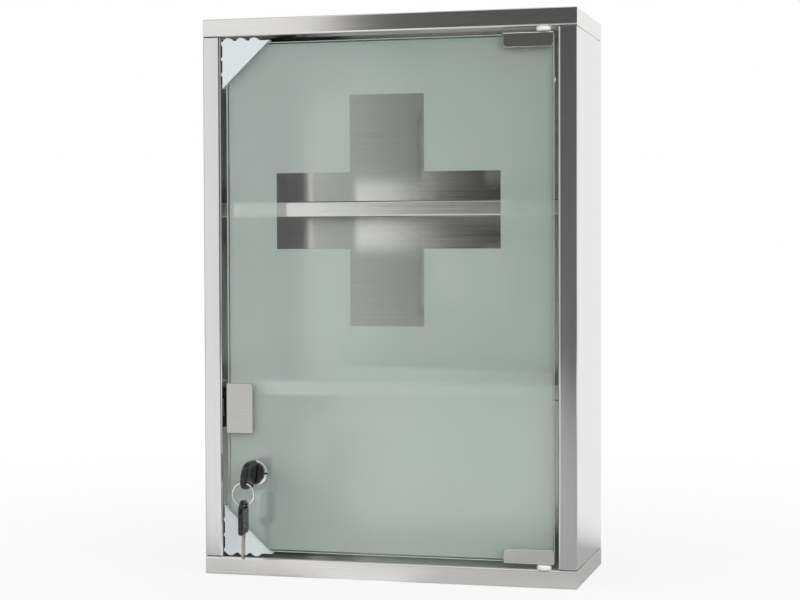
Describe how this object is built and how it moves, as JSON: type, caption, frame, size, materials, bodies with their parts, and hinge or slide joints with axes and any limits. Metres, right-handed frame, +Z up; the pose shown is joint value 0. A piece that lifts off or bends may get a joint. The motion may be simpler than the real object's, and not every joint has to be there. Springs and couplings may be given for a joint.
{
  "type": "glass door medicine cabinet",
  "caption": "Wall-hung first aid cabinet of folded brushed steel with shelves and a lockable frosted glass door bearing a clear cross.",
  "frame": {"origin": "middle of the flat underside of the bottom cap", "axes": "+X to the right seen from the front, +Y to the wall behind, +Z up"},
  "size_m": [0.306, 0.1568, 0.45],
  "materials": {
    "brushed_steel": "brushed stainless sheet, satin, grain along each panel",
    "clip_steel": "fine satin stainless strip with bright folded edges",
    "nylon": "white moulded nylon",
    "catch_plastic": "black moulded plastic",
    "ferrite": "dark sintered ferrite",
    "zinc": "zinc-plated steel",
    "glass": "clear float glass, green at the edge",
    "frost": "satin frosted layer on the back of the pane",
    "guard_plastic": "white soft plastic",
    "vinyl": "thin vinyl strip",
    "lock_chrome": "polished chrome",
    "lock_black": "black with fine turned rings",
    "key_steel": "nickel-plated",
    "key_plastic": "black moulded plastic",
    "ring_steel": "bright spring wire"
  },
  "bodies": {
    "cabinet": {"bottom_cap": "brushed_steel", "top_cap": "brushed_steel", "left_side_panel": "brushed_steel", "right_side_panel": "brushed_steel", "back_panel": "brushed_steel", "upper_shelf": "brushed_steel", "lower_shelf": "brushed_steel", "bottom_hinge_bush": "nylon", "top_hinge_bush": "nylon", "catch_housing": "catch_plastic", "catch_magnet": "ferrite", "catch_pole_left": "zinc", "catch_pole_right": "zinc", "catch_screw_lower": "zinc", "catch_screw_upper": "zinc"},
    "door": {"door_glass": "glass", "frost_film": "frost", "bottom_corner_guard": "guard_plastic", "top_corner_guard": "guard_plastic", "bottom_hinge_clip": "clip_steel", "top_hinge_clip": "clip_steel", "bottom_clip_liner": "vinyl", "top_clip_liner": "vinyl", "bottom_hinge_pin": "zinc", "top_hinge_pin": "zinc", "bottom_clamp_screw_left": "zinc", "bottom_clamp_screw_right": "zinc", "top_clamp_screw_left": "zinc", "top_clamp_screw_right": "zinc", "handle_clip": "clip_steel", "handle_liner": "vinyl", "lock_body": "lock_chrome", "lock_face": "lock_black", "lock_washer": "zinc", "lock_nut": "zinc"},
    "lock_rotor": {"lock_plug": "lock_black", "lock_cam": "zinc", "cam_screw": "zinc", "key_bow": "key_plastic", "key_blade": "key_steel"},
    "key_ring": {"key_ring": "ring_steel"},
    "spare_key": {"spare_key_bow": "key_plastic", "spare_key_blade": "key_steel"}
  },
  "joints": [
    {"name": "door_hinge", "type": "hinge", "parent": "cabinet", "child": "door", "pos_m": [0.1265, -0.056, 0.225], "axis": [0, 0, 1], "range_deg": [0, 120]},
    {"name": "lock_turn", "type": "hinge", "parent": "door", "child": "lock_rotor", "pos_m": [-0.1099, -0.06, 0.0834], "axis": [0, 1, 0], "range_deg": [0, 90]},
    {"name": "ring_hang", "type": "hinge", "parent": "lock_rotor", "child": "key_ring", "pos_m": [-0.11102, -0.0857, 0.07541], "axis": [0, 1, 0], "range_deg": [-90, 0]},
    {"name": "spare_key_swing", "type": "hinge", "parent": "key_ring", "child": "spare_key", "pos_m": [-0.11102, -0.0857, 0.06023], "axis": [1, 0, 0], "range_deg": [-25, 25]}
  ],
  "couplings": [
    {"joint": "ring_hang", "follows": "lock_turn", "ratio": -1}
  ]
}
